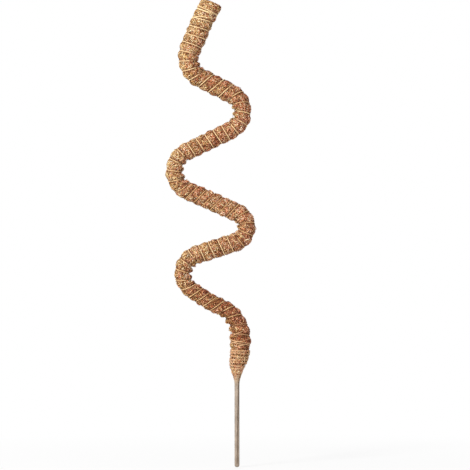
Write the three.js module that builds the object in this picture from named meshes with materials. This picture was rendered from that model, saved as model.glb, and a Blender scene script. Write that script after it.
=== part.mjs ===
// Bendable moss pole: a soft wire core rolled in coir, bound with twine and bent into a flat wave.
// Millimetres, +Z up. The wave lies in the XZ plane and is seen from -Y. The origin is on the stake's
// axis at the soil line.
import * as THREE from 'three';

// Gaps
const clearance = 0.3; // between pieces that touch

// Wire core and bare stake
const wireRadius = 2;
const stakeDepth = 95; // stake below the soil line
const coirHeight = 24; // lower end of the coir above the soil line
const rootLength = 41; // straight coir below the first bend
const wireCover = 7; // coir above the wire's upper end

// Wrap of the stake, closed and rounded at the tip and opening into a flare under the coir
const wrapRadius = 3.1;
const tipCover = 3; // wrap below the wire's lower end
const tipRound = 2.4; // height of the rounded end
const tipFlat = 0.9; // radius of the flat spot that it ends in
const flareRadius = 6.4;
const flareLength = 16;

// Coir roll
const coirRadius = 12;
const neckRadius = 6.8; // lower end
const boundRadius = 10.6; // at the top of the whipping
const swellLength = 10; // from there to the full radius
const rollAside = 4; // middle of the roll off the wire, to +X, between the neck and the first bend
const topFlare = 1.7; // growth of the radius towards the upper end
const topFlareLength = 14;
const topRound = 3.5; // rounding of the upper edge

// Twine around the coir
const twineRadius = 0.8;
const twinePitch = 12;
const twineBite = 2.6; // depth that the twine draws the coir in
const twineTopMargin = 8; // coir above the last turn

// Whipping that closes the coir's neck
const whipRadius = 0.9;
const whipPitch = 3.1;
const whipTurns = 7;
const whipOffset = 5; // first turn above the coir's lower end
const whipMargin = 3; // last turn to the first twine turn

// Facets
const coirSides = 12;
const coirRingsPerTurn = 4;
const boreRingAngle = THREE.MathUtils.degToRad(12);
const wireSides = 8;
const wireDomeRings = 3;
const twineSides = 5;
const twineStepsPerTurn = 12;
const tipRings = 4;
const flareRings = 6;
const topEdgeShares = [0.6, 0.9, 1]; // rings of the upper edge, as shares of its rounding

// The wave from the stake up: each strand's straight length, what it adds to the coir's radius and the
// lean of its twine turns, then the bend after it, as a turn in degrees (positive to +X) and the radius
// of the centre line
const coirStart = stakeDepth + coirHeight;
const strands = [
  { straight: coirStart + rootLength, swell: 1.5, lean: 0, turn: -57, bendRadius: 45 },
  { straight: 42, swell: -1.5, lean: 2.5, turn: 129, bendRadius: 25 },
  { straight: 50, swell: -0.2, lean: -3.6, turn: -138, bendRadius: 20 },
  { straight: 67, swell: -0.3, lean: 2.5, turn: 130, bendRadius: 27 },
  { straight: 60, swell: -0.8, lean: -3.6, turn: -127, bendRadius: 26 },
  { straight: 41, swell: 0.4, lean: 2.5, turn: 86, bendRadius: 29 },
  { straight: 64, swell: 1.9, lean: -3.4 },
];

const coirMaterial = new THREE.MeshStandardMaterial({ color: 0xb07a3c, roughness: 1, metalness: 0 });
const twineMaterial = new THREE.MeshStandardMaterial({ color: 0xe2cda0, roughness: 0.9, metalness: 0 });
const wrapMaterial = new THREE.MeshStandardMaterial({ color: 0xb59c78, roughness: 0.95, metalness: 0 });
const wireMaterial = new THREE.MeshStandardMaterial({ color: 0xb9b8b2, roughness: 0.45, metalness: 1 });

const front = new THREE.Vector3(0, -1, 0);
const backAngle = 1.5 * Math.PI; // where one twine piece hands over to the next

// Runs of the centre line, each a group seated on the end of the one below
const pole = new THREE.Group();
const runs = [];

function runPoint(run, distance) {
  if (!run.turn) {
    return new THREE.Vector3(0, 0, distance);
  }
  const angle = distance / run.bendRadius;
  const across = run.bendRadius * (1 - Math.cos(angle));
  return new THREE.Vector3(Math.sign(run.turn) * across, 0, run.bendRadius * Math.sin(angle));
}

function runHeading(run, distance) {
  return run.turn ? (run.turn * distance) / run.length : 0;
}

function addRun(run) {
  const below = runs.at(-1);
  run.group = new THREE.Group();
  if (below) {
    run.start = below.start + below.length;
    run.group.position.copy(runPoint(below, below.length));
    run.group.rotation.y = below.turn;
    below.group.add(run.group);
  } else {
    run.start = 0;
    run.group.position.z = -stakeDepth;
    pole.add(run.group);
  }
  run.end = run.start + run.length;
  runs.push(run);
}

strands.forEach((strand, index) => {
  addRun({ bend: false, index, length: strand.straight, turn: 0 });
  if (strand.turn) {
    const turn = THREE.MathUtils.degToRad(strand.turn);
    const length = strand.bendRadius * Math.abs(turn);
    addRun({ bend: true, index: index + 1, length, turn, bendRadius: strand.bendRadius });
  }
});
pole.updateMatrixWorld(true);
const poleEnd = runs.at(-1).end;

// Point and side direction of the centre line at a distance from the stake's tip
function frameAt(station) {
  const run = runs.find((each) => station <= each.end) ?? runs.at(-1);
  const distance = station - run.start;
  const heading = runHeading(run, distance);
  const side = new THREE.Vector3(Math.cos(heading), 0, -Math.sin(heading));
  return {
    point: runPoint(run, distance).applyMatrix4(run.group.matrixWorld),
    side: side.transformDirection(run.group.matrixWorld),
  };
}

function outward(frame, angle) {
  return frame.side.clone().multiplyScalar(Math.cos(angle)).addScaledVector(front, Math.sin(angle));
}

function ring(frame, sides, radiusAt) {
  return Array.from({ length: sides }, (_, i) => {
    const angle = (2 * Math.PI * i) / sides;
    return frame.point.clone().addScaledVector(outward(frame, angle), radiusAt(angle));
  });
}

function spread(from, to, steps) {
  return Array.from({ length: steps + 1 }, (_, i) => from + ((to - from) * i) / steps);
}

// Closed skin over rings of points; a ring of one point is the tip of a cap
function skin(rings, closed) {
  const points = rings.flat();
  const triangles = [];
  const join = (a, b, firstA, firstB) => {
    const count = Math.max(a.length, b.length);
    for (let i = 0; i < count; i += 1) {
      const next = (i + 1) % count;
      if (a.length > 1) {
        triangles.push(firstA + i, firstA + next, firstB + (b.length > 1 ? next : 0));
      }
      if (b.length > 1) {
        triangles.push(firstA + (a.length > 1 ? i : 0), firstB + next, firstB + i);
      }
    }
  };
  let first = 0;
  for (let k = 1; k < rings.length; k += 1) {
    join(rings[k - 1], rings[k], first, first + rings[k - 1].length);
    first += rings[k - 1].length;
  }
  if (closed) {
    join(rings.at(-1), rings[0], first, 0);
  }
  let volume = 0;
  for (let k = 0; k < triangles.length; k += 3) {
    const [a, b, c] = triangles.slice(k, k + 3).map((i) => points[i]);
    volume += a.dot(b.clone().cross(c));
  }
  const geometry = new THREE.BufferGeometry().setFromPoints(points);
  geometry.setIndex(volume < 0 ? triangles.reverse() : triangles);
  return geometry;
}

function addPiece(run, name, geometry, material) {
  geometry.applyMatrix4(run.group.matrixWorld.clone().invert());
  geometry.computeVertexNormals();
  const mesh = new THREE.Mesh(geometry, material);
  mesh.name = name;
  run.group.add(mesh);
}

// Values given once a strand, eased from the middle of one strand to the middle of the next
function eased(station, key) {
  const lengths = runs.filter((run) => !run.bend);
  const middles = lengths.map((run) => (Math.max(run.start, coirStart) + run.end) / 2);
  let value = strands[0][key];
  for (let i = 1; i < strands.length; i += 1) {
    const blend = THREE.MathUtils.smootherstep(station, middles[i - 1], middles[i]);
    value += (strands[i][key] - strands[i - 1][key]) * blend;
  }
  return value;
}

// Whipped stretch of the neck and the stretch above it that carries twine
const whipStart = coirStart + whipOffset;
const whipEnd = whipStart + whipTurns * whipPitch;
const woundStart = whipEnd + whipMargin;
const woundEnd = poleEnd - twineTopMargin;

// The roll stands off the wire above the neck and comes back to it along the first bend
const [, firstBend, firstStrand] = runs;
const asideEnd = (firstBend.start + firstBend.end) / 2;
const asideGone = (firstStrand.start + firstStrand.end) / 2;

function rollAt(station) {
  const frame = frameAt(station);
  const rise = THREE.MathUtils.smoothstep(station, coirStart, whipEnd);
  const fall = THREE.MathUtils.smoothstep(station, asideEnd, asideGone);
  frame.point.addScaledVector(frame.side, rollAside * (rise - fall));
  return frame;
}

// Radius of the coir between the twine turns
function crest(station) {
  const along = THREE.MathUtils.clamp((station - coirStart) / (whipEnd - coirStart), 0, 1);
  const neck = neckRadius + (boundRadius - neckRadius) * Math.sin((along * Math.PI) / 2);
  const swell = THREE.MathUtils.smoothstep(station, whipEnd, whipEnd + swellLength);
  const full = coirRadius + eased(station, 'swell');
  const flare = topFlare * THREE.MathUtils.smoothstep(station, poleEnd - topFlareLength, poleEnd);
  const rounded = THREE.MathUtils.clamp((station - poleEnd + topRound) / topRound, 0, 1);
  const edge = topRound * (1 - Math.sqrt(1 - rounded * rounded));
  return neck + (full - neck) * swell + flare - edge;
}

// Whole turns of twine on every run
let turnsBelow = 0;
for (const run of runs) {
  run.woundStart = Math.max(run.start, woundStart);
  run.woundEnd = Math.min(run.end, woundEnd);
  run.turns = Math.max(1, Math.round((run.woundEnd - run.woundStart) / twinePitch));
  run.turnsBelow = turnsBelow;
  turnsBelow += run.turns;
}

function turnsAt(station) {
  const run = runs.find((each) => station <= each.woundEnd) ?? runs.at(-1);
  const share = (station - run.woundStart) / (run.woundEnd - run.woundStart);
  return run.turnsBelow + run.turns * share;
}

function bite(station) {
  const low = THREE.MathUtils.smoothstep(station, woundStart - twinePitch / 2, woundStart);
  const high = THREE.MathUtils.smoothstep(station, woundEnd, woundEnd + twinePitch / 2);
  return twineBite * (low - high);
}

// Coir surface, drawn in along the leaning turns of the twine
function coirRadiusAt(station, angle) {
  let level = station + eased(station, 'lean') * Math.cos(angle);
  level = station + eased(level, 'lean') * Math.cos(angle);
  const turn = turnsAt(level) - (angle - backAngle) / (2 * Math.PI);
  return crest(station) - bite(station) * (0.5 + 0.5 * Math.cos(2 * Math.PI * turn));
}

function coirRings(from, to) {
  const steps = Math.ceil(((to - from) / twinePitch) * coirRingsPerTurn);
  return spread(from, to, steps).map((station) =>
    ring(rollAt(station), coirSides, (angle) => coirRadiusAt(station, angle)));
}

function boreRings(run, from, to) {
  const steps = run.bend ? Math.ceil(Math.abs(run.turn) / boreRingAngle) : 1;
  const radius = wireRadius + clearance;
  return spread(from, to, steps).map((station) => ring(frameAt(station), coirSides, () => radius));
}

// One length of coir roll around the wire; the topmost closes over the wire's end
function addCoir(run, name) {
  const from = Math.max(run.start + clearance / 2, coirStart);
  if (run !== runs.at(-1)) {
    const to = run.end - clearance / 2;
    const rings = [...coirRings(from, to), ...boreRings(run, from, to).reverse()];
    addPiece(run, name, skin(rings, true), coirMaterial);
    return;
  }
  const boreEnd = poleEnd - wireCover + clearance;
  const roundStart = poleEnd - topRound;
  const edge = topEdgeShares.map((share) => roundStart + topRound * share);
  const edgeRings = edge.map((station) => ring(rollAt(station), coirSides, () => crest(station)));
  const rings = [
    [frameAt(boreEnd).point],
    ...boreRings(run, from, boreEnd).reverse(),
    ...coirRings(from, roundStart),
    ...edgeRings,
    [frameAt(poleEnd).point],
  ];
  addPiece(run, name, skin(rings, false), coirMaterial);
}

// Round wire between two distances, domed where it meets the next length
function addWire(run, name, from, to, domedStart, domedEnd) {
  const dome = spread(0, Math.PI / 2, wireDomeRings).slice(1);
  const low = domedStart ? dome : [Math.PI / 2];
  const high = domedEnd ? dome : [Math.PI / 2];
  const lowRings = low.map((turn) => {
    const rise = domedStart ? wireRadius * (1 - Math.cos(turn)) : 0;
    return ring(frameAt(from + rise), wireSides, () => wireRadius * Math.sin(turn));
  });
  const highRings = high.map((turn) => {
    const drop = domedEnd ? wireRadius * (1 - Math.cos(turn)) : 0;
    return ring(frameAt(to - drop), wireSides, () => wireRadius * Math.sin(turn));
  });
  const middle = runs.flatMap((each) => {
    const steps = each.bend ? Math.ceil(Math.abs(each.turn) / boreRingAngle) : 1;
    return spread(each.start, each.end, steps).slice(0, -1);
  });
  const inner = middle.filter((station) => station > from + 2 * wireRadius && station < to - 2 * wireRadius);
  const rings = [
    [frameAt(from).point],
    ...lowRings,
    ...inner.map((station) => ring(frameAt(station), wireSides, () => wireRadius)),
    ...highRings.reverse(),
    [frameAt(to).point],
  ];
  addPiece(run, name, skin(rings, false), wireMaterial);
}

// Facets of the coir and of the turns cut under their true circles, which the twine has to clear
function twineSeat(station, radius) {
  const sag = crest(station) * (1 - Math.cos(Math.PI / twineStepsPerTurn));
  const ripple = bite(station) * (0.5 - 0.5 * Math.cos(Math.PI / coirRingsPerTurn));
  return crest(station) - bite(station) + sag + ripple + clearance + radius;
}

function windingPoint(station, angle, radius) {
  const frame = rollAt(station);
  const out = outward(frame, angle);
  const seat = twineSeat(station, radius);
  return { out, seat, point: frame.point.addScaledVector(out, seat) };
}

// Turns as one tube; pathAt gives the point of the winding for a count of turns
let leastGap = Infinity;

function windingTube(turns, radius, pathAt) {
  const steps = Math.round(turns * twineStepsPerTurn);
  const trim = clearance / 2 / (2 * Math.PI * pathAt(0).seat);
  const marks = spread(trim, turns - trim, steps);
  const nudge = 0.01;
  const rings = marks.map((mark) => {
    const here = pathAt(mark);
    const along = pathAt(mark + nudge).point.sub(pathAt(mark - nudge).point).normalize();
    const across = along.clone().cross(here.out).normalize();
    const up = across.clone().cross(along);
    return Array.from({ length: twineSides }, (_, i) => {
      const angle = (2 * Math.PI * i) / twineSides;
      const point = here.point.clone().addScaledVector(up, radius * Math.cos(angle));
      return point.addScaledVector(across, radius * Math.sin(angle));
    });
  });
  const middles = marks.map((mark) => pathAt(mark).point);
  middles.forEach((point, i) => {
    for (let k = i + Math.round(twineStepsPerTurn / 2); k < middles.length; k += 1) {
      leastGap = Math.min(leastGap, point.distanceTo(middles[k]) - 2 * radius);
    }
  });
  return skin([[middles[0]], ...rings, [middles.at(-1)]], false);
}

function addTwine(run, name) {
  const length = run.woundEnd - run.woundStart;
  const geometry = windingTube(run.turns, twineRadius, (mark) => {
    const level = run.woundStart + (length * mark) / run.turns;
    const angle = backAngle + 2 * Math.PI * mark;
    const station = level - eased(level, 'lean') * Math.cos(angle);
    return windingPoint(station, angle, twineRadius);
  });
  addPiece(run, name, geometry, twineMaterial);
}

function addWhipping(run) {
  const geometry = windingTube(whipTurns, whipRadius, (mark) => {
    const station = whipStart + whipPitch * mark;
    return windingPoint(station, backAngle + 2 * Math.PI * mark, whipRadius);
  });
  addPiece(run, 'neck_whipping', geometry, twineMaterial);
}

// Wrap of the stake, turned as one profile around the axis: tip, straight length, flare and blind bore
function addWrap(run) {
  const top = coirStart - clearance;
  const bore = wireRadius + clearance;
  const tip = spread(0, Math.PI / 2, tipRings).map((turn) => {
    const radius = tipFlat + (wrapRadius - tipFlat) * Math.sin(turn);
    return new THREE.Vector2(radius, tipRound * (1 - Math.cos(turn)));
  });
  const flare = spread(0, 1, flareRings).map((share) => {
    const radius = wrapRadius + (flareRadius - wrapRadius) * share * share;
    return new THREE.Vector2(radius, top - flareLength * (1 - share));
  });
  const profile = [
    new THREE.Vector2(0, 0),
    ...tip,
    ...flare,
    new THREE.Vector2(bore, top),
    new THREE.Vector2(bore, tipCover),
    new THREE.Vector2(0, tipCover),
  ];
  const geometry = new THREE.LatheGeometry(profile, 2 * wireSides).rotateX(Math.PI / 2);
  const mesh = new THREE.Mesh(geometry, wrapMaterial);
  mesh.name = 'stake_wrap';
  run.group.add(mesh);
}

// Each bend turns at two places, a quarter of its arc from either end, where the wire is parted
const hingeShare = 0.25;
const lowerHinge = (bend) => bend.start + bend.length * hingeShare;
const upperHinge = (bend) => bend.end - bend.length * hingeShare;

for (const [order, run] of runs.entries()) {
  const below = runs[order - 1];
  const above = runs[order + 1];
  const prefix = run.bend ? 'bend_' : '';
  if (run.bend) {
    const from = lowerHinge(run) + clearance / 2;
    const to = upperHinge(run) - clearance / 2;
    addWire(run, `bend_wire_${run.index}`, from, to, true, true);
  } else {
    const from = below ? upperHinge(below) + clearance / 2 : tipCover + clearance;
    const to = above ? lowerHinge(above) - clearance / 2 : poleEnd - wireCover;
    addWire(run, below ? `wire_${run.index}` : 'stake_wire', from, to, Boolean(below), true);
  }
  addCoir(run, `${prefix}coir_${run.index}`);
  addTwine(run, `${prefix}twine_${run.index}`);
}
addWrap(runs[0]);
addWhipping(runs[0]);

console.log(`least gap between turns of one winding: ${leastGap.toFixed(2)} mm`);

export default pole;
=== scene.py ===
import math

import bpy
import numpy as np
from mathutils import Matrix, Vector


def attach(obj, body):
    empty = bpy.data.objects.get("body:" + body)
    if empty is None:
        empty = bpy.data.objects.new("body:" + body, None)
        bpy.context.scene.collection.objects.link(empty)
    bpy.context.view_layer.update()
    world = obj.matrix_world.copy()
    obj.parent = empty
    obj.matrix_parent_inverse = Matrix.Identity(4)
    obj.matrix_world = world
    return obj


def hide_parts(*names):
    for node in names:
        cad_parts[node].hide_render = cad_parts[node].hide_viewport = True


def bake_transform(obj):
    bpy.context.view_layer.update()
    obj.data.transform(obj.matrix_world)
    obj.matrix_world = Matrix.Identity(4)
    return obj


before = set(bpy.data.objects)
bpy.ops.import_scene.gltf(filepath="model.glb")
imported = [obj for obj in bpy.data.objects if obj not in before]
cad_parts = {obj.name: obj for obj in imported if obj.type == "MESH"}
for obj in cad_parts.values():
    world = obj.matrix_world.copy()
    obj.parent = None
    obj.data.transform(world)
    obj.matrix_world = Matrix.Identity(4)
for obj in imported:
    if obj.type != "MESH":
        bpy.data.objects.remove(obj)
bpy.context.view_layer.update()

millimetre = 0.001  # in metres
poleShape = {  # millimetres and degrees, listed from the stake's tip upwards
    "stakeDepth": 95,
    "coirStart": 119,
    "straights": (160, 42, 50, 67, 60, 41, 64),
    "turns": (-57, 129, -138, 130, -127, 86),
    "bendRadii": (45, 25, 20, 27, 26, 29),
    "swells": (1.5, -1.5, -0.2, -0.3, -0.8, 0.4, 1.9),
    "leans": (0, 2.5, -3.6, 2.5, -3.6, 2.5, -3.4),
    "coirRadius": 12,
    "neckRadius": 6.8,
    "boundRadius": 10.6,
    "swellLength": 10,
    "rollAside": 4,  # the roll off the wire, to +X, between the neck and the first bend
    "topFlare": 1.7,
    "topFlareLength": 14,
    "topRound": 3.5,
    "whipOffset": 5,
    "whipPitch": 3.1,
    "whipTurns": 7,
    "whipMargin": 3,
    "twinePitch": 12,
    "twineBite": 2.6,
    "twineTopMargin": 8,
    "bendEase": 6,  # over which the folds of a bend begin and end
}


def smooth(value, low, high):
    t = np.clip((value - low) / (high - low), 0, 1)
    return t * t * (3 - 2 * t)


def layRoute(shape):  # straight and bent runs of the core, one after another
    runs = []
    start, heading, x, z = 0.0, 0.0, 0.0, -shape["stakeDepth"]
    for k, straight in enumerate(shape["straights"]):
        runs.append((start, straight, heading, 0.0, x, z))
        start += straight
        x += straight * math.sin(heading)
        z += straight * math.cos(heading)
        if k == len(shape["turns"]):
            break
        turn = math.radians(shape["turns"][k])
        length = abs(turn) * shape["bendRadii"][k]
        rate = turn / length
        runs.append((start, length, heading, rate, x, z))
        x += (math.cos(heading) - math.cos(heading + turn)) / rate
        z += (math.sin(heading + turn) - math.sin(heading)) / rate
        start += length
        heading += turn
    return np.array(runs)


route = layRoute(poleShape)
poleEnd = route[-1, 0] + route[-1, 1]
coirStart = poleShape["coirStart"]
whipStart = coirStart + poleShape["whipOffset"]
whipEnd = whipStart + poleShape["whipPitch"] * poleShape["whipTurns"]
woundStart = whipEnd + poleShape["whipMargin"]
woundEnd = poleEnd - poleShape["twineTopMargin"]
strandStarts = np.maximum(route[::2, 0], coirStart)
strandMiddles = (strandStarts + route[::2, 0] + route[::2, 1]) / 2
bendMiddles = route[1::2, 0] + route[1::2, 1] / 2
backAngle = 1.5 * math.pi
coirEnd = {  # millimetres
    "bow": 1.4,
    "bowLength": 30,
    "shoulder": 3.4,
    "shoulderLength": 14,
    "round": 2.2,
    "roundLength": 7,
    "sink": 1.6,  # room under the fibres of the end
}


def centreLine(station):  # place and heading of the core at a station
    i = np.clip(np.searchsorted(route[:, 0], station, side="right") - 1, 0, len(route) - 1)
    start, _, first, rate, x, z = np.moveaxis(route[i], -1, 0)
    along = station - start
    heading = first + rate * along
    bent = rate != 0
    safe = np.where(bent, rate, 1)
    x = x + np.where(bent, (np.cos(first) - np.cos(heading)) / safe, along * np.sin(heading))
    z = z + np.where(bent, (np.sin(heading) - np.sin(first)) / safe, along * np.cos(heading))
    return x, z, heading


def asideAt(station):
    rise = smooth(station, coirStart, whipEnd)
    fall = smooth(station, bendMiddles[0], strandMiddles[1])
    bow = smooth(station, poleEnd - coirEnd["bowLength"], poleEnd)
    return poleShape["rollAside"] * (rise - fall) + coirEnd["bow"] * bow


def onPole(station, angle, radius):
    x, z, heading = centreLine(station)
    side = asideAt(station) + radius * np.cos(angle)
    place = (x + side * np.cos(heading), -radius * np.sin(angle), z - side * np.sin(heading))
    return np.stack(place, -1)


def eased(station, values):  # one value per strand, eased along the bends
    values = np.array(values, float)
    i = np.clip(np.searchsorted(strandMiddles, station) - 1, 0, len(values) - 2)
    t = np.clip((station - strandMiddles[i]) / (strandMiddles[i + 1] - strandMiddles[i]), 0, 1)
    t = t * t * t * (t * (6 * t - 15) + 10)
    return values[i] + (values[i + 1] - values[i]) * t


def countTurns():  # whole turns of twine on every run
    marks, counts = [woundStart], [0.0]
    for start, length in route[:, :2]:
        low, high = max(start, woundStart), min(start + length, woundEnd)
        if high <= low:
            continue
        marks.append(high)
        counts.append(counts[-1] + max(1, round((high - low) / poleShape["twinePitch"])))
    return np.array(marks), np.array(counts)


turnMarks, turnCounts = countTurns()


def turnsAt(level):
    return np.interp(level, turnMarks, turnCounts)


def crest(station):  # radius of the coir between the turns
    s = poleShape
    gather = np.clip((station - coirStart) / (whipEnd - coirStart), 0, 1)
    neck = s["neckRadius"] + (s["boundRadius"] - s["neckRadius"]) * np.sin(0.5 * np.pi * gather)
    full = s["coirRadius"] + eased(station, s["swells"])
    radius = neck + (full - neck) * smooth(station, whipEnd, whipEnd + s["swellLength"])
    radius = radius + s["topFlare"] * smooth(station, poleEnd - s["topFlareLength"], poleEnd)
    edge = np.clip((station - poleEnd + s["topRound"]) / s["topRound"], 0, 1)
    return radius - s["topRound"] * (1 - np.sqrt(1 - edge * edge))


def biteAt(station):
    half = poleShape["twinePitch"] / 2
    held = smooth(station, woundStart - half, woundStart) - smooth(station, woundEnd, woundEnd + half)
    return poleShape["twineBite"] * held


def grooveAt(station, angle):  # 1 under the twine, 0 midway between two turns
    level = station
    for _ in range(2):  # twice is close enough
        level = station + eased(level, poleShape["leans"]) * np.cos(angle)
    turn = turnsAt(level) - (angle - backAngle) / (2 * np.pi)
    return 0.5 + 0.5 * np.cos(2 * np.pi * turn)


coirLumps = {
    "seed": 11,
    "waves": 46,
    "wavesAround": 6,  # at most, either way
    "height": 0.24,
    "uneven": (0.5, 1.4),  # least and most share of that height
    "shortest": 7.0,  # millimetres from lump to lump
    "longest": 26.0,
    "groovePinch": 5.0,  # higher draws the twine in along a narrower line
    "grooveSoft": 0.3,  # share of the groove that stays wide
    "grooveDepth": 0.22,
    "underFibres": 0.95,  # millimetres left for the fibres on top
    "neckShare": 0.15,  # share of the lumps left at the neck
    "neckLength": 8,  # above the neck, until the lumps are full
    "neckTaper": 0.6,
    "taperLength": 10,
    "pleat": 5.0,  # how much deeper the twine cuts on the inside of a bend
}


def makeLumps(settings):
    rng = np.random.default_rng(settings["seed"])
    count = settings["waves"]
    spacing = rng.uniform(settings["shortest"], settings["longest"], count)
    around = rng.integers(-settings["wavesAround"], settings["wavesAround"] + 1, count)
    phase = rng.uniform(0, 2 * np.pi, count)
    height = settings["height"] * np.sqrt(2 / count) * rng.uniform(*settings["uneven"], count)
    return spacing, around, phase, height


lumpWaves = makeLumps(coirLumps)


def lumpsAt(station, angle):
    total = np.zeros(np.broadcast(station, angle).shape)
    for spacing, around, phase, height in zip(*lumpWaves):
        total += height * np.cos(2 * np.pi * station / spacing + around * angle + phase)
    return total


def bentAt(station):  # 1 or -1 along a bend, by the way it turns, and 0 on straight strands
    i = np.clip(np.searchsorted(route[:, 0], station, side="right") - 1, 0, len(route) - 1)
    start, length, rate = route[i, 0], route[i, 1], route[i, 3]
    ease = poleShape["bendEase"]
    return np.sign(rate) * smooth(station - start, 0, ease) * smooth(start + length - station, 0, ease)


def innerSide(station, angle):  # 1 on the inside of a bend, 0 on its outside and on straight strands
    return np.clip(np.cos(angle) * bentAt(station), 0, 1)


def coirRadius(station, angle):
    s = coirLumps
    groove = grooveAt(station, angle)
    inner = innerSide(station, angle)
    narrow = s["grooveSoft"] * groove + (1 - s["grooveSoft"]) * groove ** s["groovePinch"]
    pinch = (narrow + (groove - narrow) * inner) * s["grooveDepth"]
    free = smooth(station, whipEnd, whipEnd + s["neckLength"])
    lumps = lumpsAt(station, angle) - s["underFibres"]
    lumps = lumps * (s["neckShare"] + (1 - s["neckShare"]) * free)
    lumps = lumps - s["neckTaper"] * (1 - smooth(station, coirStart, coirStart + s["taperLength"]))
    edge = np.clip((station - poleEnd) / coirEnd["roundLength"] + 1, 0, 1) ** 2
    shoulder = np.clip((station - poleEnd) / coirEnd["shoulderLength"] + 1, 0, 1) ** 2
    shoulder = shoulder * np.clip(-np.cos(angle), 0, 1)
    lumps = lumps - coirEnd["round"] * edge - coirEnd["shoulder"] * shoulder
    bite = biteAt(station) * (1 + s["pleat"] * inner)
    return crest(station) - bite * pinch + lumps


def ringGrid(stations, sides):  # station and angle of every point of a tube
    angles = np.linspace(0, 2 * np.pi, sides, endpoint=False)
    return np.meshgrid(stations, angles, indexing="ij")


def tubeFaces(rings, sides):
    i, j = np.meshgrid(np.arange(rings - 1), np.arange(sides), indexing="ij")
    k = (j + 1) % sides
    low, high = i * sides, (i + 1) * sides
    return np.stack([low + j, high + j, high + k, low + k], -1).reshape(-1, 4)


def tubeMap(rings, sides):  # runs along and around, one pair for each corner
    i, j = np.meshgrid(np.arange(rings - 1), np.arange(sides), indexing="ij")
    u = np.stack([j, j, j + 1, j + 1], -1) / sides
    v = np.stack([i, i + 1, i + 1, i], -1) / (rings - 1)
    return np.stack([u, v], -1).reshape(-1, 2)


def fillMesh(name, points, corners, starts):  # points in metres
    mesh = bpy.data.meshes.new(name)
    mesh.vertices.add(len(points))
    mesh.vertices.foreach_set("co", np.asarray(points, np.float32).ravel())
    mesh.loops.add(len(corners))
    mesh.loops.foreach_set("vertex_index", np.asarray(corners, np.int32))
    mesh.polygons.add(len(starts))
    mesh.polygons.foreach_set("loop_start", np.asarray(starts, np.int32))
    mesh.polygons.foreach_set("use_smooth", np.ones(len(starts), bool))
    mesh.update(calc_edges=True)
    return mesh


def wallMesh(name, points):  # an open tube, from rings of points
    faces = tubeFaces(*points.shape[:2])
    return fillMesh(name, points.reshape(-1, 3), faces.ravel(), np.arange(len(faces)) * 4)


def addValues(mesh, label, values):
    layer = mesh.attributes.new(label, "FLOAT", "POINT")
    layer.data.foreach_set("value", np.asarray(values, np.float32).ravel())


def readValues(mesh, label):
    values = np.zeros(len(mesh.vertices), np.float32)
    mesh.attributes[label].data.foreach_get("value", values)
    return values


def readCorners(mesh):
    corners = np.zeros(len(mesh.loops), np.int32)
    mesh.loops.foreach_get("vertex_index", corners)
    return corners


def readFaces(mesh, label):
    values = np.zeros(len(mesh.polygons), np.int32)
    mesh.polygons.foreach_get(label, values)
    return values


def placeObject(name, mesh, material=None):
    piece = bpy.data.objects.new(name, mesh)
    bpy.context.scene.collection.objects.link(piece)
    if material:
        mesh.materials.clear()
        mesh.materials.append(material)
    return piece


def addNode(tree, kind, inputs=None, **settings):
    node = tree.nodes.new(kind)
    for label, value in settings.items():
        setattr(node, label, value)
    for label, value in (inputs or {}).items():
        if isinstance(value, bpy.types.NodeSocket):
            tree.links.new(value, node.inputs[label])
        else:
            node.inputs[label].default_value = value
    return node


def calc(tree, operation, first, second=0.0, third=0.0, limit=False):
    inputs = {0: first, 1: second, 2: third}
    return addNode(tree, "ShaderNodeMath", inputs, operation=operation, use_clamp=limit).outputs[0]


def times(tree, first, second):
    return calc(tree, "MULTIPLY", first, second)


def timesPlus(tree, first, second, third):
    return calc(tree, "MULTIPLY_ADD", first, second, third)


def limited(tree, first, second=0.0):  # a sum kept between 0 and 1
    return calc(tree, "ADD", first, second, limit=True)


def vectorCalc(tree, operation, first, second=(0, 0, 0)):
    key = 3 if operation == "SCALE" else 1
    return addNode(tree, "ShaderNodeVectorMath", {0: first, key: second}, operation=operation).outputs[0]


def newTree(name, inputs):
    tree = bpy.data.node_groups.new(name, "GeometryNodeTree")
    tree.interface.new_socket("Geometry", in_out="OUTPUT", socket_type="NodeSocketGeometry")
    tree.interface.new_socket("Geometry", in_out="INPUT", socket_type="NodeSocketGeometry")
    for label, kind in inputs:
        tree.interface.new_socket(label, in_out="INPUT", socket_type="NodeSocket" + kind)
    return tree, addNode(tree, "NodeGroupInput").outputs


def endTree(tree, geometry, material):
    whole = addNode(tree, "GeometryNodeRealizeInstances", {0: geometry}).outputs[0]
    smoothed = addNode(tree, "GeometryNodeSetShadeSmooth", {0: whole}).outputs[0]
    painted = addNode(tree, "GeometryNodeSetMaterial", {0: smoothed, "Material": material}).outputs[0]
    addNode(tree, "NodeGroupOutput", {0: painted})
    return tree


def runTree(host, tree, settings):  # gives back a plain mesh
    modifier = host.modifiers.new("make", "NODES")
    modifier.node_group = tree
    for item in tree.interface.items_tree:
        if item.in_out == "INPUT" and item.name in settings:
            modifier[item.identifier] = settings[item.name]
    settled = host.evaluated_get(bpy.context.evaluated_depsgraph_get())
    mesh = bpy.data.meshes.new_from_object(settled)
    host.modifiers.clear()
    return mesh


def named(tree, label, kind="FLOAT"):
    return addNode(tree, "GeometryNodeInputNamedAttribute", {0: label}, data_type=kind).outputs[0]


def store(tree, geometry, label, value):
    inputs = {0: geometry, 2: label, 3: value}
    return addNode(tree, "GeometryNodeStoreNamedAttribute", inputs, data_type="FLOAT").outputs[0]


def chance(tree, low, high, seed):
    inputs = {2: low, 3: high, 8: seed}
    return addNode(tree, "FunctionNodeRandomValue", inputs, data_type="FLOAT").outputs[1]


def noise(tree, place, shift, scale, detail=1.0):
    inputs = {"Vector": place, "W": shift, "Scale": scale, "Detail": detail}
    return addNode(tree, "ShaderNodeTexNoise", inputs, noise_dimensions="4D").outputs


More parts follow.
